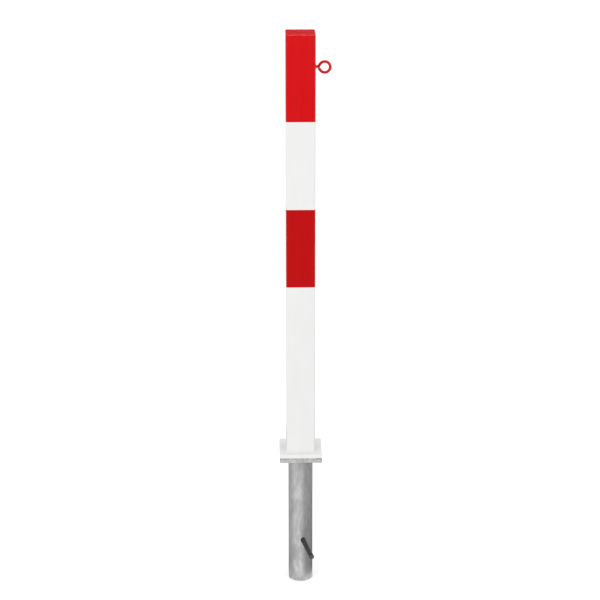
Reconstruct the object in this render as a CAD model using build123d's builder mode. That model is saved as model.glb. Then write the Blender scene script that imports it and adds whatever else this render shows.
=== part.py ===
from build123d import *
import math
import os

# Removable bollard: a square steel post that stands on a ground sleeve and locks into it.
# Millimetres, +Z up. The origin is on the sleeve's axis at the ground line, which is the
# top face of the sleeve plate. The front faces -Y, the chain eye +X and the lock -X.

os.makedirs("parts", exist_ok=True)

# Post, a square tube with a lid
post_width = 70.0
post_wall = 2.5
post_corner = 4.5
post_height = 1050.0
cap_thickness = 3.5
cap_edge = 2.4

# Base plate under the post
base_plate_side = 104.0
base_plate_thickness = 10.0
plate_corner = 1.5
plate_edge = 0.8

# Spigot that reaches down into the sleeve
spigot_diameter = 42.4
spigot_wall = 3.2
spigot_depth = 160.0
spigot_lead = 1.6
weld_gap = 0.1

# Guide key that keeps the post from turning in the sleeve
key_width = 8.0
key_height = 3.2
key_length = 10.5
key_gap = 0.6
key_lead = 1.2

# Chain eye, one bent round bar
eye_rod = 6.6
eye_ring_radius = 12.8
eye_stub = 4.3
eye_below_top = 82.0
eye_shank_rise = 1.0
eye_neck_radius = 5.0
eye_neck_bend = 56.0
eye_ring_bend = 292.0
eye_tail = 6.0
eye_inside = 4.0
eye_weld_radius = 7.0
eye_weld_height = 2.2

# Ground sleeve, cast into the foundation
sleeve_plate_side = 103.0
sleeve_plate_thickness = 12.0
sleeve_diameter = 60.3
sleeve_wall = 2.9
sleeve_tube_length = 335.0
spigot_clearance = 0.5

# Anchor bar, loose in two holes across the sleeve
anchor_diameter = 12.0
anchor_length = 220.0
anchor_reach = 128.0
anchor_above_end = 115.0
anchor_turn = 11.4
anchor_clearance = 0.5
anchor_edge = 0.6
rest_gap = 0.02

# Lock: a turned housing in the post's wall, and a spindle with a triangular head
lock_above_plate = 22.0
housing_diameter = 36.0
guard_bore = 28.0
guard_depth = 17.0
guard_edge = 0.8
journal_diameter = 12.0
journal_gap = 0.05
collar_diameter = 22.0
collar_thickness = 3.0
head_side = 15.0
head_circle = 14.4
head_length = 12.0
head_edge = 0.8
thread_diameter = 10.0
flat_width = 9.6
bore_gap = 0.1

# Lock hook, a plate on the spindle
hook_thickness = 8.0
hook_hub_radius = 19.0
hook_arm_width = 9.5
hook_nose_height = 10.0
hook_heel = 5.0
hook_wall_gap = 1.0
heel_wall_gap = 0.45
hook_corner = 1.5
hook_neck_corner = 4.0
ledge_gap = 1.0
window_gap = 1.5
window_corner = 2.5

# Stop pin in the housing, and the rings and nut on the spindle
stop_diameter = 5.0
stop_radius = 13.5
stop_seat = 8.0
stop_below_face = 0.8
stop_edge = 0.4
stop_press_gap = 0.01
stop_slot_gap = 0.3
ring_diameter = 20.0
ring_thickness = 1.5
spring_thickness = 1.0
spring_cone = 0.6
nut_across_flats = 17.0
nut_height = 8.0
nut_face_diameter = 16.2
nut_corner_slope = 30.0
thread_beyond_nut = 2.0

# Places that follow from the sizes above
post_half = post_width / 2
sleeve_inner = sleeve_diameter / 2 - sleeve_wall
spigot_radius = spigot_diameter / 2
spigot_inner = spigot_radius - spigot_wall
sleeve_bore = spigot_radius + spigot_clearance
sleeve_end = -sleeve_plate_thickness - sleeve_tube_length
lock_height = base_plate_thickness + lock_above_plate
ring_start = -hook_thickness / 2 - ring_thickness
eye_height = post_height - eye_below_top
shank_height = eye_height + eye_shank_rise

# The lock's profiles are drawn beside its axis, and its plates across it
lock_axis = Axis((0, 0, lock_height), (1, 0, 0))
lock_side = Plane(origin=(0, 0, lock_height), x_dir=(1, 0, 0), z_dir=(0, -1, 0))


def across_lock(along):
    """The plane across the lock's axis at a distance along +X, with local x on +Y."""
    return Plane(origin=(along, 0, lock_height), x_dir=(0, 1, 0), z_dir=(1, 0, 0))


# The post tube stands on its base plate. One hole takes the eye's shank, one the lock housing.
with BuildPart() as post_tube:
    with BuildSketch(Plane.XY.offset(base_plate_thickness)):
        RectangleRounded(post_width, post_width, post_corner)
        offset(amount=-post_wall, kind=Kind.INTERSECTION, mode=Mode.SUBTRACT)
    extrude(amount=post_height - cap_thickness - base_plate_thickness)
    with BuildSketch(Plane(origin=(post_half, 0, shank_height), z_dir=(1, 0, 0))):
        Circle(eye_rod / 2 + weld_gap)
    extrude(amount=-2 * post_wall, mode=Mode.SUBTRACT)
    with BuildSketch(across_lock(-post_half)):
        Circle(housing_diameter / 2 + weld_gap)
    extrude(amount=2 * post_wall, mode=Mode.SUBTRACT)
post_tube.part.label = "post_tube"
export_step(post_tube.part, "parts/post_tube.step")

# The cap is a flat lid of the tube's own outline, with its top edge ground round.
with BuildPart() as post_cap:
    with BuildSketch(Plane.XY.offset(post_height - cap_thickness)):
        RectangleRounded(post_width, post_width, post_corner)
    extrude(amount=cap_thickness)
    fillet(post_cap.faces().sort_by(Axis.Z)[-1].edges(), cap_edge)
post_cap.part.label = "post_cap"
export_step(post_cap.part, "parts/post_cap.step")

# The base plate is welded under the tube, and the spigot passes through it.
with BuildPart() as post_base_plate:
    with BuildSketch():
        RectangleRounded(base_plate_side, base_plate_side, plate_corner)
        Circle(spigot_radius + weld_gap, mode=Mode.SUBTRACT)
    extrude(amount=base_plate_thickness)
    chamfer(post_base_plate.faces().sort_by(Axis.Z)[-1].outer_wire().edges(), plate_edge)
    chamfer(post_base_plate.faces().sort_by(Axis.Z)[0].outer_wire().edges(), plate_edge)
post_base_plate.part.label = "post_base_plate"
export_step(post_base_plate.part, "parts/post_base_plate.step")

# The hook's outline is worked out at the locked place, measured from the lock's axis. Its
# nose reaches under the sleeve plate as far as the sleeve's wall lets it.
nose_top = -(lock_height + sleeve_plate_thickness + ledge_gap)
nose_bottom = nose_top - hook_nose_height
nose_tip = math.sqrt(sleeve_inner**2 - (hook_thickness / 2) ** 2) - hook_wall_gap
nose_sweep = math.hypot(nose_tip, nose_bottom)
spigot_reach = math.sqrt(spigot_inner**2 - (hook_thickness / 2) ** 2)
arm_outer = spigot_reach - hook_wall_gap
arm_inner = arm_outer - hook_arm_width

# To open, the hook swings back until its heel is near the spigot's far wall, in whole degrees.
heel = arm_inner + hook_heel
heel_swing = math.asin((spigot_reach - heel_wall_gap) / math.hypot(heel, nose_bottom))
lock_turn = math.floor(math.degrees(math.atan2(heel, -nose_bottom) + heel_swing))

# The spigot is open at both ends. The hook swings out through the window in its wall.
window_top = -sleeve_plate_thickness + ledge_gap
window_bottom = lock_height - nose_sweep - window_gap
with BuildPart() as spigot_tube:
    with BuildSketch(Plane.XY.offset(-spigot_depth)):
        Circle(spigot_radius)
        Circle(spigot_inner, mode=Mode.SUBTRACT)
    extrude(amount=spigot_depth + base_plate_thickness)
    chamfer(spigot_tube.faces().sort_by(Axis.Z)[0].outer_wire().edges(), spigot_lead)
    window_middle = (window_top + window_bottom) / 2
    window_height = window_top - window_bottom
    with BuildSketch(Plane(origin=(0, 0, window_middle), x_dir=(-1, 0, 0), z_dir=(0, 1, 0))):
        RectangleRounded(hook_thickness + 2 * window_gap, window_height, window_corner)
    extrude(amount=spigot_diameter, mode=Mode.SUBTRACT)
spigot_tube.part.label = "spigot_tube"
export_step(spigot_tube.part, "parts/spigot_tube.step")

# The guide key is a short flat welded to the spigot on the side away from the hook. Its
# lower corner is cut back so that it finds the notch in the sleeve plate.
with BuildPart() as guide_key:
    with BuildSketch(Plane.XY.offset(-key_length)):
        with Locations((0, -spigot_radius)):
            Rectangle(key_width, 2 * key_height)
        Circle(spigot_radius + rest_gap, mode=Mode.SUBTRACT)
    extrude(amount=key_length)
    key_foot = guide_key.faces().sort_by(Axis.Z)[0].edges().sort_by(Axis.Y)[0]
    chamfer(key_foot, key_lead)
guide_key.part.label = "guide_key"
export_step(guide_key.part, "parts/guide_key.step")

# The chain eye is one round bar: a shank through the post's wall, a short neck up, four
# fifths of a ring, and a tail that stops just short of the neck. A weld runs round the shank.
neck_bend = math.radians(eye_neck_bend)
neck_rise = eye_ring_radius * math.cos(neck_bend) - eye_shank_rise
neck_corner = post_half + eye_stub + eye_neck_radius * math.tan(neck_bend / 2)
neck_end = (neck_corner + neck_rise / math.tan(neck_bend), shank_height + neck_rise)
neck_start = (post_half + eye_stub, shank_height)
shank_start = (post_half - post_wall - eye_inside, shank_height)
with BuildPart() as chain_eye:
    with BuildLine(Plane.XZ) as bar_line:
        shank = Line(shank_start, neck_start)
        neck = JernArc(shank @ 1, shank % 1, eye_neck_radius, eye_neck_bend)
        Line(neck @ 1, neck_end)
        ring = JernArc(neck_end, neck % 1, eye_ring_radius, -eye_ring_bend)
        Line(ring @ 1, ring @ 1 + (ring % 1) * eye_tail)
    with BuildSketch(Plane(origin=shank @ 0, z_dir=shank % 0)):
        Circle(eye_rod / 2)
    sweep(path=bar_line.wire())
    with BuildSketch(Plane.XZ):
        with BuildLine():
            weld_root = Vector(post_half, shank_height)
            weld_wall = weld_root + Vector(0, eye_weld_radius)
            weld_shank = weld_root + Vector(eye_weld_height, eye_rod / 2)
            Line(weld_root, weld_wall)
            RadiusArc(weld_wall, weld_shank, 2 * eye_weld_height)
            Line(weld_shank, weld_root + Vector(eye_weld_height, 0))
            Line(weld_root + Vector(eye_weld_height, 0), weld_root)
        make_face()
    revolve(axis=Axis((0, 0, shank_height), (1, 0, 0)))
chain_eye.part.label = "chain_eye"
export_step(chain_eye.part, "parts/chain_eye.step")

# The lock housing is turned from bar and welded flush into the post's wall. The key goes
# into its guard bore, and the spindle runs in its floor.
housing_length = post_half + ring_start
with BuildPart() as lock_housing:
    with BuildSketch(across_lock(-post_half)):
        Circle(housing_diameter / 2)
        Circle(journal_diameter / 2 + journal_gap, mode=Mode.SUBTRACT)
    extrude(amount=housing_length)
    with BuildSketch(across_lock(-post_half)):
        Circle(guard_bore / 2)
    extrude(amount=guard_depth, mode=Mode.SUBTRACT)
    guard_mouth = lock_housing.faces().sort_by(Axis.X)[0].inner_wires()[0].edges()
    chamfer(guard_mouth, guard_edge)
    with BuildSketch(across_lock(ring_start)):
        with Locations((0, stop_radius)):
            Circle(stop_diameter / 2 + stop_press_gap)
    extrude(amount=-stop_seat, mode=Mode.SUBTRACT)
lock_housing.part.label = "lock_housing"
export_step(lock_housing.part, "parts/lock_housing.step")

# The stop pin is pressed into the housing and stands in the hook's curved slot.
with BuildPart() as lock_stop_pin:
    with BuildSketch(across_lock(ring_start - stop_seat)):
        with Locations((0, stop_radius)):
            Circle(stop_diameter / 2)
    extrude(amount=stop_seat + ring_thickness + hook_thickness - stop_below_face)
    chamfer(lock_stop_pin.faces().sort_by(Axis.X)[-1].edges(), stop_edge)
lock_stop_pin.part.label = "lock_stop_pin"
export_step(lock_stop_pin.part, "parts/lock_stop_pin.step")

# The spindle is turned in one piece: triangular head, collar on the housing's floor,
# journal, a stretch with two flats for the hook, and a thread for the nut.
floor_outer = -post_half + guard_depth
spring_end = hook_thickness / 2 + spring_thickness + spring_cone
nut_start = spring_end + ring_thickness
with BuildPart() as lock_spindle:
    with BuildSketch(lock_side):
        with BuildLine():
            Polyline(
                (floor_outer - collar_thickness, 0),
                (floor_outer - collar_thickness, collar_diameter / 2),
                (floor_outer, collar_diameter / 2),
                (floor_outer, journal_diameter / 2),
                (hook_thickness / 2, journal_diameter / 2),
                (hook_thickness / 2, thread_diameter / 2),
                (nut_start + nut_height + thread_beyond_nut, thread_diameter / 2),
                (nut_start + nut_height + thread_beyond_nut, 0),
                close=True,
            )
        make_face()
    revolve(axis=lock_axis)
    chamfer(lock_spindle.faces().sort_by(Axis.X)[-1].edges(), head_edge)
    with BuildSketch(across_lock(-hook_thickness / 2)):
        Rectangle(journal_diameter, 2 * journal_diameter)
        Rectangle(journal_diameter, flat_width, mode=Mode.SUBTRACT)
    extrude(amount=hook_thickness, mode=Mode.SUBTRACT)
    with BuildSketch(across_lock(floor_outer - collar_thickness)):
        RegularPolygon(head_side / math.sqrt(3), 3, rotation=90)
        Circle(head_circle / 2, mode=Mode.INTERSECT)
    extrude(amount=-head_length)
    chamfer(lock_spindle.faces().sort_by(Axis.X)[0].edges(), head_edge)
lock_spindle.part.label = "lock_spindle"
export_step(lock_spindle.part, "parts/lock_spindle.step")


def make_ring(start, bore, label):
    """A flat ring on the spindle, from start along +X, with the given bore."""
    with BuildPart() as ring_part:
        with BuildSketch(across_lock(start)):
            Circle(ring_diameter / 2)
            Circle(bore / 2 + bore_gap, mode=Mode.SUBTRACT)
        extrude(amount=ring_thickness)
    ring_part.part.label = label
    export_step(ring_part.part, "parts/" + label + ".step")
    return ring_part


# One ring runs between the housing and the hook, the other between the spring and the nut.
lock_thrust_ring = make_ring(ring_start, journal_diameter, "lock_thrust_ring")
lock_washer = make_ring(spring_end, thread_diameter, "lock_washer")

# The hook hangs through the spigot. It is drawn locked and stands turned back, unlocked, so
# that its nose is inside the spigot. Its curved slot and the stop pin set the two ends.
turn_back = math.radians(lock_turn)
hook_plane = Plane(
    origin=(-hook_thickness / 2, 0, lock_height),
    x_dir=(0, math.cos(turn_back), -math.sin(turn_back)),
    z_dir=(1, 0, 0),
)
with BuildPart() as lock_hook:
    with BuildSketch(hook_plane) as hook_outline:
        with BuildLine():
            FilletPolyline(
                (arm_inner, 0),
                (arm_inner, nose_top),
                (heel, nose_bottom),
                (nose_tip, nose_bottom),
                (nose_tip, nose_top),
                (arm_outer, nose_top),
                (arm_outer, 0),
                radius=hook_corner,
                close=True,
            )
        make_face()
        Circle(hook_hub_radius)
        neck_corners = hook_outline.vertices().sort_by(Axis.Y)[-2:]
        fillet(neck_corners, hook_neck_corner)
    extrude(amount=hook_thickness)
    with BuildSketch(across_lock(-hook_thickness / 2)):
        Circle(journal_diameter / 2 + bore_gap)
        Rectangle(2 * journal_diameter, flat_width + 2 * bore_gap, mode=Mode.INTERSECT)
    extrude(amount=hook_thickness, mode=Mode.SUBTRACT)
    with BuildSketch(across_lock(-hook_thickness / 2)):
        with BuildLine() as slot_line:
            CenterArc((0, 0), stop_radius, 90 - lock_turn, lock_turn)
        SlotArc(slot_line.wire(), stop_diameter + 2 * stop_slot_gap)
    extrude(amount=hook_thickness, mode=Mode.SUBTRACT)
lock_hook.part.label = "lock_hook"
export_step(lock_hook.part, "parts/lock_hook.step")

# The disc spring is a coned ring that presses the hook on the housing, so it stays put.
with BuildPart() as lock_disc_spring:
    with BuildSketch(lock_side):
        with BuildLine():
            Polyline(
                (hook_thickness / 2, ring_diameter / 2),
                (hook_thickness / 2 + spring_thickness, ring_diameter / 2),
                (spring_end, thread_diameter / 2 + bore_gap),
                (spring_end - spring_thickness, thread_diameter / 2 + bore_gap),
                close=True,
            )
        make_face()
    revolve(axis=lock_axis)
lock_disc_spring.part.label = "lock_disc_spring"
export_step(lock_disc_spring.part, "parts/lock_disc_spring.step")

# The lock nut holds the spring down. Its corners are turned off to a slope at both ends.
nut_corner = nut_across_flats / math.sqrt(3)
corner_drop = (nut_corner - nut_face_diameter / 2) * math.tan(math.radians(nut_corner_slope))
with BuildPart() as lock_nut:
    with BuildSketch(across_lock(nut_start)):
        RegularPolygon(nut_across_flats / 2, 6, major_radius=False)
        Circle(thread_diameter / 2 + bore_gap, mode=Mode.SUBTRACT)
    extrude(amount=nut_height)
    with BuildSketch(lock_side):
        with BuildLine():
            Polyline(
                (nut_start, 0),
                (nut_start, nut_face_diameter / 2),
                (nut_start + corner_drop, nut_corner),
                (nut_start + nut_height - corner_drop, nut_corner),
                (nut_start + nut_height, nut_face_diameter / 2),
                (nut_start + nut_height, 0),
                close=True,
            )
        make_face()
    revolve(axis=lock_axis, mode=Mode.INTERSECT)
lock_nut.part.label = "lock_nut"
export_step(lock_nut.part, "parts/lock_nut.step")

# The sleeve plate's bore guides the spigot, and its notch takes the guide key.
with BuildPart() as sleeve_plate:
    with BuildSketch(Plane.XY.offset(-sleeve_plate_thickness)):
        RectangleRounded(sleeve_plate_side, sleeve_plate_side, plate_corner)
        Circle(sleeve_bore, mode=Mode.SUBTRACT)
        with Locations((0, -spigot_radius)):
            Rectangle(
                key_width + 2 * key_gap,
                2 * (key_height + key_gap),
                mode=Mode.SUBTRACT,
            )
    extrude(amount=sleeve_plate_thickness)
    chamfer(sleeve_plate.faces().sort_by(Axis.Z)[-1].outer_wire().edges(), plate_edge)
    chamfer(sleeve_plate.faces().sort_by(Axis.Z)[0].outer_wire().edges(), plate_edge)
sleeve_plate.part.label = "sleeve_plate"
export_step(sleeve_plate.part, "parts/sleeve_plate.step")

# The anchor bar's plane looks along the bar, turned a little from the front.
anchor_height = sleeve_end + anchor_above_end
bar_turn = math.radians(anchor_turn)
bar_direction = Vector(math.sin(bar_turn), -math.cos(bar_turn), 0)

# The sleeve tube is welded under the plate and is open below, so that rain drains away.
with BuildPart() as sleeve_tube:
    with BuildSketch(Plane.XY.offset(sleeve_end)):
        Circle(sleeve_diameter / 2)
        Circle(sleeve_inner, mode=Mode.SUBTRACT)
    extrude(amount=sleeve_tube_length)
    with BuildSketch(Plane(origin=(0, 0, anchor_height), z_dir=bar_direction)):
        Circle(anchor_diameter / 2 + anchor_clearance)
    extrude(amount=sleeve_diameter, both=True, mode=Mode.SUBTRACT)
sleeve_tube.part.label = "sleeve_tube"
export_step(sleeve_tube.part, "parts/sleeve_tube.step")

# The anchor bar lies on the lower side of its two holes, pushed through to the front.
bar_level = Vector(0, 0, anchor_height - anchor_clearance + rest_gap)
bar_start = bar_level + bar_direction * (anchor_reach - anchor_length)
with BuildPart() as anchor_bar:
    with BuildSketch(Plane(origin=bar_start, z_dir=bar_direction)):
        Circle(anchor_diameter / 2)
    extrude(amount=anchor_length)
    chamfer(anchor_bar.edges().filter_by(GeomType.CIRCLE), anchor_edge)
anchor_bar.part.label = "anchor_bar"
export_step(anchor_bar.part, "parts/anchor_bar.step")
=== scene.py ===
import math

import bmesh
import bpy
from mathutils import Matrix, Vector


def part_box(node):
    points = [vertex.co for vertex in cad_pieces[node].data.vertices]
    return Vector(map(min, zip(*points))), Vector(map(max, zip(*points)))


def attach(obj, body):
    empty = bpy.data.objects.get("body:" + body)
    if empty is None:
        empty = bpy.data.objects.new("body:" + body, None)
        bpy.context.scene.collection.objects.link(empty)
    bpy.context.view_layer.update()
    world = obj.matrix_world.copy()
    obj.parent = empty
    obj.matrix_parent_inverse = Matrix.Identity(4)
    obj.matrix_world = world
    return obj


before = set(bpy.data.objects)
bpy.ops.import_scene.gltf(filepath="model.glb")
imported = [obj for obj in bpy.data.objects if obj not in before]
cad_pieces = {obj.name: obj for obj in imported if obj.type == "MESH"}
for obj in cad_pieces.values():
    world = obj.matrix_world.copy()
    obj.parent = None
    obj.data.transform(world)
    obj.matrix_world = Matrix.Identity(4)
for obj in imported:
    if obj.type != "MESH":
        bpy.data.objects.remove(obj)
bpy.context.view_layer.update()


# Ground sleeve tube: a length of welded steel pipe, cut square, with two holes for the anchor
# bar. It is dipped in molten zinc after welding, which leaves a dull and softly mottled coat
# that ran downwards, and darker patches near the lower rim, where the bath drained off.
class Value:
    """A socket that carries a number, colour or vector. Arithmetic on it adds Math nodes."""

    def __init__(self, nodes, socket):
        self.nodes = nodes
        self.socket = socket

    def math(self, operation, first, second):
        return self.nodes.node("ShaderNodeMath", {"operation": operation}, {0: first, 1: second})

    def __add__(self, other):
        return self.math("ADD", self, other)

    def __radd__(self, other):
        return self.math("ADD", other, self)

    def __sub__(self, other):
        return self.math("SUBTRACT", self, other)

    def __rsub__(self, other):
        return self.math("SUBTRACT", other, self)

    def __mul__(self, other):
        return self.math("MULTIPLY", self, other)

    def __truediv__(self, other):
        return self.math("DIVIDE", self, other)

    def __pow__(self, other):
        return self.math("POWER", self, other)

    def __abs__(self):
        return self.nodes.node("ShaderNodeMath", {"operation": "ABSOLUTE"}, {0: self})

    def sine(self):
        """The sine of an angle in radians."""
        return self.nodes.node("ShaderNodeMath", {"operation": "SINE"}, {0: self})

    def above(self, edge, blur):
        """0 where the value is below an edge and 1 where it is above, with a soft change."""
        limits = {"Value": self, "From Min": edge - blur, "From Max": edge + blur}
        return self.nodes.node("ShaderNodeMapRange", {"interpolation_type": "SMOOTHSTEP"}, limits)


class Nodes:
    """The nodes of one material, world or Geometry Nodes tree."""

    def __init__(self, tree):
        self.tree = tree

    def node(self, kind, settings, inputs, output=0):
        made = self.tree.nodes.new(kind)
        for name, setting in settings.items():
            setattr(made, name, setting)
        for name, value in inputs.items():
            self.join(value, made.inputs[name])
        return Value(self, made.outputs[output])

    def join(self, value, socket):
        if isinstance(value, Value):
            self.tree.links.new(value.socket, socket)
        else:
            socket.default_value = value


class Finish(Nodes):
    """A finish on the metal: one material, and the values that feed its shader."""

    def __init__(self, name, **plain):
        self.material = bpy.data.materials.new(name)
        self.material.use_nodes = True
        super().__init__(self.material.node_tree)
        self.shader = self.tree.nodes["Principled BSDF"]
        self.feed(**plain)

    def feed(self, **values):
        """Sets or links the shader's sockets, whose names have _ here for each space."""
        for name, value in values.items():
            self.join(value, self.shader.inputs[name.replace("_", " ")])

    def place(self, axis=None):
        """The point of the bollard that is shaded, or one of its coordinates, in metres."""
        point = self.node("ShaderNodeTexCoord", {}, {}, "Object")
        if axis is None:
            return point
        return self.node("ShaderNodeSeparateXYZ", {}, {0: point}, axis)

    def clouds(self, size, detail=2.0, stretch=(1.0, 1.0, 1.0), shift=(0.0, 0.0, 0.0)):
        """Cloudy values round 0.5, in patches of about the given size in metres."""
        mapping = {"Vector": self.place(), "Scale": stretch, "Location": shift}
        point = self.node("ShaderNodeMapping", {}, mapping)
        texture = {"Vector": point, "Scale": 1.0 / size, "Detail": detail}
        return self.node("ShaderNodeTexNoise", {}, texture, "Fac")

    def mix(self, share, first, second):
        """From one colour to another as the share goes from 0 to 1."""
        return self.node("ShaderNodeMix", {"data_type": "RGBA"}, {0: share, 6: first, 7: second}, 2)

    def relief(self, height):
        """Shades the surface as if it stood up by a height in metres."""
        self.feed(Normal=self.node("ShaderNodeBump", {}, {"Distance": 1.0, "Height": height}))

    def cover(self, *names):
        """Gives this finish to CAD pieces, whose shapes stay as they are."""
        for name in names:
            for slot in cad_pieces[name].material_slots:
                slot.material = self.material


zinc_light = (0.620, 0.623, 0.618, 1.0)
zinc_dark = (0.440, 0.443, 0.440, 1.0)
# The dark colour of the drain spots on the tube, and of the painted shade in the plate's seam.
zinc_stain_and_shade = (0.130, 0.130, 0.128, 1.0)


def shaded(colour, share):
    """A colour with its brightness multiplied by a share."""
    return tuple(part * share for part in colour[:3]) + (1.0,)


def galvanised(name, patch, stretch, stain_and_shade, bright=1.0):
    """Hot-dip zinc, in patches of the given size drawn out by stretch, with a dark colour mixed in:
    stains or painted shade.
    """
    light, dark = shaded(zinc_light, bright), shaded(zinc_dark, bright)
    zinc = Finish(name, Metallic=0.85)
    cloud = zinc.clouds(patch, 3.0, stretch)
    fleck = zinc.clouds(patch * 0.28, 3.0, stretch, (0.2, 0.5, 0.1))
    run = zinc.clouds(patch * 0.30, 2.0, (1.0, 1.0, 0.14), (0.3, 0.1, 0.0))
    grain = zinc.clouds(0.0022, 2.0)
    tone = (cloud * 0.42 + fleck * 0.28 + run * 0.18 + grain * 0.12).above(0.50, 0.10)
    zinc.feed(
        Base_Color=zinc.mix(stain_and_shade(zinc), zinc.mix(tone, dark, light), zinc_stain_and_shade),
        Roughness=0.58 - tone * 0.12 + grain * 0.06,
    )
    zinc.relief(cloud * 0.00014 + fleck * 0.00006 + run * 0.00006 + grain * 0.000018)
    return zinc


sleeve_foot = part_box("sleeve_tube")[0].z
foot_stain_rise, foot_stain_blur, foot_stain_strength = 0.013, 0.011, 0.45


def foot_stain(zinc):
    """Darker spots in the lowest two centimetres of the sleeve, where the zinc ran off."""
    low = 1.0 - zinc.place("Z").above(sleeve_foot + foot_stain_rise, foot_stain_blur)
    spot = zinc.clouds(0.009, 2.0, shift=(0.4, 0.2, 0.7)).above(0.58, 0.08)
    return low * spot * foot_stain_strength


galvanised("galvanised_tube", 0.030, (1.0, 1.0, 0.42), foot_stain).cover("sleeve_tube")


# Sleeve plate: a square of flat steel bar with a bore for the spigot and a notch for its key,
# welded on the tube and dipped with it. A dark line of painted shade along its upper edge stands
# in for the shade in the seam under the post's base plate.
sleeve_plate_low, sleeve_plate_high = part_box("sleeve_plate")
seam_shade_depth, seam_shade_blur = 0.0022, 0.0014
corner_start, corner_blur = 0.040, 0.012
upright_side, upright_front = sleeve_plate_high.x - 0.0015, sleeve_plate_high.y - 0.0025


def painted_seam_shade(zinc):
    """Painted shade of the seam along the upper edge, darkest at the corners; upright corner edges
    darker.
    """
    high = zinc.place("Z").above(sleeve_plate_high.z - seam_shade_depth, seam_shade_blur)
    side, end = abs(zinc.place("X")), abs(zinc.place("Y"))
    corner = side.above(corner_start, corner_blur) * end.above(corner_start, corner_blur)
    seam_shade_cloud = zinc.clouds(0.012, 3.0, shift=(0.1, 0.0, 0.0)).above(0.50, 0.10)
    upright = side.above(upright_side, seam_shade_blur) * end.above(upright_front, seam_shade_blur)
    return high * (corner * 0.5 + seam_shade_cloud * 0.35 + 0.1) + upright * 0.45


# Its zinc takes the painted shade of the seam under the base plate.
zinc_plate = galvanised("galvanised_plate", 0.018, (1.0, 1.0, 1.0), painted_seam_shade, 1.15)
zinc_plate.cover("sleeve_plate")


# Sleeve weld: one run of weld metal in the corner between tube and plate, laid in short pools
# whose ripples the zinc has covered. It is dipped with the pieces that it joins.
steps_to_pitch, wander_scale, wander_share, thinnest = 0.2, 160.0, 0.5, 0.7


def weld_tree():
    """A closed run of ripples round the path that the object's edges give."""
    tree = bpy.data.node_groups.new("weld_run", "GeometryNodeTree")
    inputs = {
        "Path": "Geometry", "Bead": "Float", "Pitch": "Float", "Ripple": "Float", "Finish": "Material",
    }
    for name, kind in inputs.items():
        tree.interface.new_socket(name, in_out="INPUT", socket_type="NodeSocket" + kind)
    tree.interface.new_socket("Weld", in_out="OUTPUT", socket_type="NodeSocketGeometry")
    weld = Nodes(tree)
    given = tree.nodes.new("NodeGroupInput")
    size = {name: Value(weld, given.outputs[name]) for name in inputs}
    path = weld.node("GeometryNodeMeshToCurve", {}, {"Mesh": size["Path"]})
    path = weld.node(
        "GeometryNodeResampleCurve", {"mode": "LENGTH"},
        {"Curve": path, "Length": size["Pitch"] * steps_to_pitch},
    )
    along = weld.node("GeometryNodeSplineParameter", {}, {}, "Length")
    pool = abs((along / size["Pitch"] * math.pi).sine())
    point = weld.node("GeometryNodeInputPosition", {}, {})
    wander = weld.node(
        "ShaderNodeTexNoise", {}, {"Vector": point, "Scale": wander_scale, "Detail": 1.0}, "Fac"
    )
    swell = pool * size["Ripple"] + wander * wander_share + thinnest
    outline = weld.node(
        "GeometryNodeCurvePrimitiveCircle", {}, {"Resolution": 12, "Radius": size["Bead"]}
    )
    bead = weld.node(
        "GeometryNodeCurveToMesh", {}, {"Curve": path, "Profile Curve": outline, "Scale": swell}
    )
    bead = weld.node("GeometryNodeSetShadeSmooth", {}, {"Geometry": bead})
    bead = weld.node("GeometryNodeRealizeInstances", {}, {"Geometry": bead})
    bead = weld.node("GeometryNodeSetMaterial", {}, {"Geometry": bead, "Material": size["Finish"]})
    weld.join(bead, tree.nodes.new("NodeGroupOutput").inputs["Weld"])
    return tree


weld_run = weld_tree()


def lay_weld(name, path, body, slot, finish, **sizes):
    """A weld along a closed path of points, on a body, with the given finish."""
    line = bpy.data.meshes.new(name)
    count = len(path)
    line.from_pydata(path, [(step, (step + 1) % count) for step in range(count)], [])
    track = bpy.data.objects.new(name + "_path", line)
    bpy.context.scene.collection.objects.link(track)
    run = track.modifiers.new("weld", "NODES")
    run.node_group = weld_run
    sizes["Finish"] = finish.material
    for item in weld_run.interface.items_tree:
        if item.name in sizes:
            run[item.identifier] = sizes[item.name]
    laid = track.evaluated_get(bpy.context.evaluated_depsgraph_get())
    mesh = bpy.data.meshes.new_from_object(laid)
    track.modifiers.remove(run)
    bpy.data.objects.remove(track)
    shape = bmesh.new()
    shape.from_mesh(mesh)
    bmesh.ops.remove_doubles(shape, verts=shape.verts, dist=0.000001)
    bmesh.ops.recalc_face_normals(shape, faces=shape.faces)
    shape.to_mesh(mesh)
    shape.free()
    weld = bpy.data.objects.new(name, mesh)
    bpy.context.scene.collection.objects.link(weld)
    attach(weld, body)


def ring_path(radius, height, points=144):
    """A level circle round the sleeve's axis."""
    turns = [2 * math.pi * point / points for point in range(points)]
    return [(radius * math.cos(turn), radius * math.sin(turn), height) for turn in turns]


sleeve_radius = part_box("sleeve_tube")[1].x
weld_stand_off = 0.0003
lay_weld(
    "sleeve_weld", ring_path(sleeve_radius + weld_stand_off, sleeve_plate_low.z - weld_stand_off),
    "ground_sleeve", "galvanised_steel", zinc_plate, Bead=0.0026, Pitch=0.0022, Ripple=0.16,
)


# Anchor bar: a length of black hot-rolled round bar, pushed through the sleeve's holes so that
# the concrete can't let go of it. The mill scale is blue-black, and the ends are sawn bare.
scale_dark = (0.006, 0.0062, 0.007, 1.0)
scale_light = (0.022, 0.0225, 0.024, 1.0)
sawn_dark = (0.060, 0.059, 0.058, 1.0)
sawn_light = (0.110, 0.108, 0.105, 1.0)
bar_middle, bar_half_length = 0.018, 0.110
sawn_depth, sawn_blur = 0.0002, 0.0001
bar_turn = math.radians(11.4)
bar_direction = (math.sin(bar_turn), -math.cos(bar_turn), 0.0)

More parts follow.
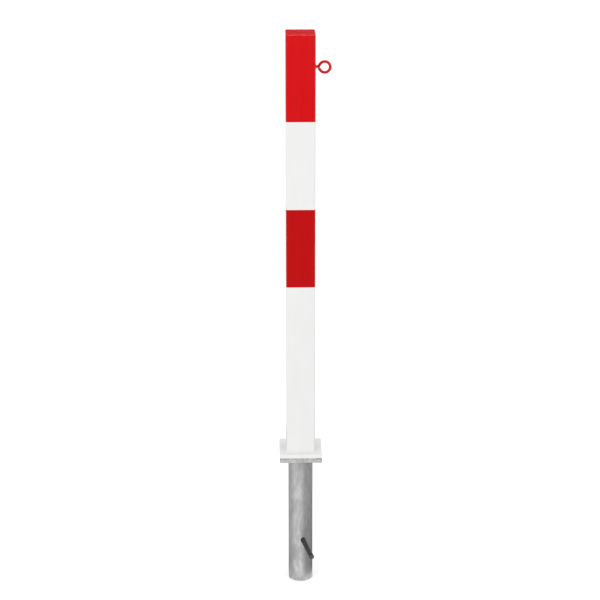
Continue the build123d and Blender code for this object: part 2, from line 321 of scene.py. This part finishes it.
bar_scale = Finish("black_scale", Specular_IOR_Level=0.30)
along_bar = bar_scale.node(
    "ShaderNodeVectorMath", {"operation": "DOT_PRODUCT"},
    {0: bar_scale.place(), 1: bar_direction}, "Value",
)
distance_along = abs(along_bar - bar_middle)
scale_cloud = bar_scale.clouds(0.006, 4.0)
scale_tone = scale_cloud.above(0.52, 0.17)
saw_line = bar_scale.clouds(0.0012, 1.0, (1.0, 1.0, 0.05))
bar_end = distance_along.above(bar_half_length - sawn_depth, sawn_blur)
bar_scale.feed(
    Base_Color=bar_scale.mix(
        bar_end,
        bar_scale.mix(scale_tone, scale_dark, scale_light),
        bar_scale.mix(saw_line, sawn_dark, sawn_light),
    ),
    Roughness=0.50 - scale_tone * 0.12 + bar_end * 0.08,
)
bar_scale.relief(scale_cloud * 0.00012 + saw_line * bar_end * 0.00004)
bar_scale.cover("anchor_bar")


# Spigot and guide key: a steel tube that passes through the base plate, and a flat bar on its
# front. Both are zinc dipped, and inside the sleeve they stay clean.
def no_stain(zinc):
    """Clean zinc."""
    return 0.0


zinc_spigot = galvanised("galvanised_spigot", 0.022, (1.0, 1.0, 0.5), no_stain)
zinc_spigot.cover("spigot_tube", "guide_key")


# Post tube: cold-formed square steel tube, blasted and painted white all over, then masked and
# sprayed with two red bands. The gloss coat has a faint orange peel, and the drawn tube under
# it shows as long, hardly visible streaks.
white_colour = (0.855, 0.858, 0.850, 1.0)
red_colour = (0.670, 0.0018, 0.0045, 1.0)
# The lower band's red is a darker copy of the top band's red: painted shade for the weaker light
# there, as both bands are one paint.
shaded_band_red_colour = (0.525, 0.0010, 0.0022, 1.0)
band_top, band_middle_top, band_middle_foot = 0.8450, 0.6325, 0.4393
masking_blur = 0.0002
film_thickness = 0.00006
thin_coat_share = 0.93


def coat_of(paint, colour):
    """One colour of paint, a little darker where the coat is thin."""
    thin = shaded(colour, thin_coat_share)
    return paint.mix(paint.clouds(0.03, 3.0, (1.0, 1.0, 0.3)), colour, thin)


def painted(name, coat):
    """Gloss paint on steel. The coat gives its colour, and how far its film stands up."""
    paint = Finish(name, Specular_IOR_Level=0.30)
    peel = paint.clouds(0.0026, 1.0)
    streak = paint.clouds(0.004, 2.0, (1.0, 1.0, 0.012))
    colour, film = coat(paint)
    paint.feed(Base_Color=colour, Roughness=0.15 + streak * 0.14)
    paint.relief(film + peel * 0.000014 + streak * 0.00003)
    return paint


def banded(paint):
    """White with two red bands, whose masked edges stand up by the film's thickness."""
    height = paint.place("Z")
    top = height.above(band_top, masking_blur)
    middle = height.above(band_middle_foot, masking_blur) - height.above(band_middle_top, masking_blur)
    # The lower band takes the darker red, which is painted shade.
    lower = paint.mix(middle, coat_of(paint, white_colour), coat_of(paint, shaded_band_red_colour))
    return paint.mix(top, lower, coat_of(paint, red_colour)), (top + middle) * film_thickness


painted("banded_paint", banded).cover("post_tube")


# Base plate: a square of flat steel with a bore for the spigot, welded under the post tube. It
# is painted white with the tube.
white_paint = painted("white_paint", lambda paint: (coat_of(paint, white_colour), 0.0))
white_paint.cover("post_base_plate")


# Foot weld: the run of weld metal between the post tube and its base plate. It goes once round
# the square tube, and the white paint covers it.
post_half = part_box("post_tube")[1].x
base_plate_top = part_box("post_base_plate")[1].z
post_corner = 0.0045


def square_path(half, corner, height, arc_points=12):
    """A level square with rounded corners."""
    path = []
    for quarter in range(4):
        for point in range(arc_points + 1):
            turn = math.pi / 2 * (quarter + point / arc_points)
            middle = math.pi / 2 * (quarter + 0.5)
            x = math.copysign(half - corner, math.cos(middle)) + corner * math.cos(turn)
            y = math.copysign(half - corner, math.sin(middle)) + corner * math.sin(turn)
            path.append((x, y, height))
    return path


lay_weld(
    "foot_weld", square_path(post_half, post_corner, base_plate_top),
    "post", "white_paint", white_paint, Bead=0.0019, Pitch=0.0019, Ripple=0.14,
)


# Cap and chain eye: a flat steel lid and one bent round steel bar. Both are welded to the post
# before painting, and sprayed red with the top band.
red_paint = painted("red_paint", lambda paint: (coat_of(paint, red_colour), 0.0))
red_paint.cover("post_cap", "chain_eye")


# Lock: turned and milled steel pieces in the post's left wall, with a brass thrust ring and
# plated pressed pieces behind. The housing's outer face is painted with the post, and all that
# is inside it is bare.
housing_low, housing_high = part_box("lock_housing")
lathe_radians_per_metre = 9000.0
guard_rim_radius, paint_depth, paint_blur = 0.01485, 0.0001, 0.00005
lock_height = (housing_low.z + housing_high.z) / 2


def turned(name, light, dark, roughness, painted_part=None):
    """Bare metal with fine rings round the lock's axis, as a lathe leaves them."""
    metal = Finish(name, Metallic=1.0)
    out = (metal.place("Y") ** 2.0 + (metal.place("Z") - lock_height) ** 2.0) ** 0.5
    ring = (out * lathe_radians_per_metre).sine()
    cloud = metal.clouds(0.008, 3.0)
    bare = metal.mix(cloud, dark, light)
    metal.feed(Base_Color=bare, Roughness=cloud * 0.12 + roughness)
    if painted_part:
        paint = painted_part(metal, out)
        metal.feed(Base_Color=metal.mix(paint, bare, white_colour), Metallic=1.0 - paint)
    metal.relief(ring * 0.000004 + cloud * 0.00002)
    return metal


def outer_face(metal, out):
    """1 on the ring of the housing that shows in the post's wall."""
    outside = 1.0 - metal.place("X").above(housing_low.x + paint_depth, paint_blur)
    return outside * out.above(guard_rim_radius, paint_blur)


steel_light = (0.600, 0.595, 0.585, 1.0)
steel_dark = (0.450, 0.447, 0.440, 1.0)
brass_light = (0.760, 0.560, 0.270, 1.0)
brass_dark = (0.600, 0.420, 0.180, 1.0)
turned("turned_housing", steel_light, steel_dark, 0.28, outer_face).cover("lock_housing")
turned("turned_steel", steel_light, steel_dark, 0.22).cover("lock_spindle", "lock_stop_pin")
turned("turned_brass", brass_light, brass_dark, 0.26).cover("lock_thrust_ring")


def plated(name, light, dark, roughness):
    """Zinc plating or phosphate on a pressed piece, a little cloudy."""
    metal = Finish(name, Metallic=1.0)
    cloud = metal.clouds(0.006, 3.0)
    grain = metal.clouds(0.0008, 2.0)
    metal.feed(Base_Color=metal.mix(cloud, dark, light), Roughness=roughness + grain * 0.16)
    metal.relief(cloud * 0.00003 + grain * 0.000006)
    return metal


plating_light, plating_dark = (0.66, 0.675, 0.69, 1.0), (0.52, 0.53, 0.55, 1.0)
phosphate_light, phosphate_dark = (0.16, 0.16, 0.165, 1.0), (0.08, 0.08, 0.085, 1.0)
zinc_plating = plated("zinc_plating", plating_light, plating_dark, 0.24)
zinc_plating.cover("lock_hook", "lock_washer", "lock_nut")
plated("phosphated_spring", phosphate_light, phosphate_dark, 0.34).cover("lock_disc_spring")


# Studio: a white floor where the sleeve stands and three soft lamps. Grey cards on the floor and
# behind the cap show only in reflections, where they darken the pipe, the gloss of the paint and
# the cap. The background is white to the camera and in reflections.
def background_seen(nodes):
    """1 for the rays that show the background: the camera's, and those in metal and glass."""
    rays = nodes.node("ShaderNodeLightPath", {}, {}, "Is Camera Ray")
    for kind in ("Is Glossy Ray", "Is Transmission Ray"):
        other = nodes.node("ShaderNodeLightPath", {}, {}, kind)
        rays = nodes.node("ShaderNodeMath", {"operation": "MAXIMUM"}, {0: rays, 1: other})
    return rays


world = bpy.data.worlds.new("studio")
world.use_nodes = True
bpy.context.scene.world = world
world_light = 0.72
sky = Nodes(world.node_tree)
background = world.node_tree.nodes["Background"]
background.inputs["Color"].default_value = (1.0, 1.0, 1.0, 1.0)
sky.join(background_seen(sky) * (1.0 - world_light) + world_light, background.inputs["Strength"])

floor_grey = (0.80, 0.80, 0.80, 1.0)
near_glow, far_glow, glow_change, glow_blur = 0.34, 0.50, 2.2, 1.8
floor = Finish("studio_floor", Base_Color=floor_grey, Roughness=0.9, Specular_IOR_Level=0.0)
floor_distance = (floor.place("X") ** 2.0 + floor.place("Y") ** 2.0) ** 0.5
floor_glow = floor_distance.above(glow_change, glow_blur) * (far_glow - near_glow) + near_glow
floor_dark, floor_bright = (0.0, 0.0, 0.0, 1.0), (1.0, 1.0, 1.0, 1.0)
floor_light = floor.mix(background_seen(floor) * floor_glow, floor_dark, floor_bright)
floor.feed(Emission_Color=floor_light, Emission_Strength=1.0)


def stage_panel(name, corners, finish):
    """A flat sheet of the studio, which isn't part of the bollard."""
    mesh = bpy.data.meshes.new(name)
    mesh.from_pydata(corners, [], [range(len(corners))])
    mesh.materials.append(finish.material)
    panel = bpy.data.objects.new(name, mesh)
    bpy.context.scene.collection.objects.link(panel)
    return panel


floor_half = 40.0
floor_corners = [(-1, -1), (1, -1), (1, 1), (-1, 1)]
stage_panel("floor", [(x * floor_half, y * floor_half, sleeve_foot) for x, y in floor_corners], floor)


def card(name, shade, corners):
    """A matt grey card that only reflections show."""
    finish = Finish(name, Base_Color=(shade, shade, shade, 1.0), Specular_IOR_Level=0.0)
    panel = stage_panel(name, corners, finish)
    panel.visible_camera = False
    panel.visible_diffuse = False
    panel.visible_shadow = False


card_height, card_steps = sleeve_foot + 0.001, 12


def floor_card(name, shade, near, far, first, last):
    """A card on the floor, from one bearing to another, counted in degrees from the front."""
    share = [step / card_steps for step in range(card_steps + 1)]
    bearings = [math.radians(first + (last - first) * part) for part in share]
    arc = [(math.sin(bearing), -math.cos(bearing)) for bearing in bearings]
    corners = [(x * far, y * far, card_height) for x, y in arc]
    corners += [(x * near, y * near, card_height) for x, y in reversed(arc)]
    card(name, shade, corners)


floor_card("card_right", shade=0.05, near=0.055, far=1.0, first=22.0, last=150.0)
floor_card("card_left", shade=0.32, near=0.055, far=1.0, first=-58.0, last=-180.0)
floor_card("card_front", shade=0.04, near=1.0, far=10.0, first=-50.0, last=50.0)
card("card_back", 0.04, [(-1.4, 1.2, 1.15), (1.4, 1.2, 1.15), (1.4, 0.6, 3.2), (-1.4, 0.6, 3.2)])


def hang_lamp(name, place, aim, width, height, power):
    """A soft box with its face turned to a point."""
    light = bpy.data.lights.new(name, "AREA")
    light.shape = "RECTANGLE"
    light.size = width
    light.size_y = height
    light.energy = power
    lamp = bpy.data.objects.new(name, light)
    lamp.location = place
    lamp.rotation_euler = (Vector(aim) - Vector(place)).to_track_quat("-Z", "Y").to_euler()
    bpy.context.scene.collection.objects.link(lamp)


post_middle, post_top = (0.0, 0.0, 0.35), (0.0, 0.0, 1.05)
hang_lamp("key", (-2.0, -2.9, 1.5), post_middle, width=1.1, height=1.5, power=36.0)
hang_lamp("fill", (2.0, -2.9, 1.5), post_middle, width=1.1, height=1.5, power=21.0)
hang_lamp("top", (0.06, 0.25, 2.05), post_top, width=0.6, height=0.6, power=6.5)


# Camera: a long lens in front of the post and a little to its left, looking down by 19
# degrees, so that the whole bollard stands upright in a square picture.
camera_data = bpy.data.cameras.new("camera")
camera_data.sensor_width = 36.0
camera_data.lens = 113.2447
camera_data.clip_end = 200.0
camera = bpy.data.objects.new("camera", camera_data)
camera.location = (-0.092033, -4.323121, 1.880644)
look_down, roll, look_right = 18.955, 0.023, 1.214
camera.rotation_euler = tuple(math.radians(angle) for angle in (90.0 - look_down, roll, -look_right))
bpy.context.scene.collection.objects.link(camera)
bpy.context.scene.camera = camera
bpy.context.scene.view_settings.view_transform = "Standard"
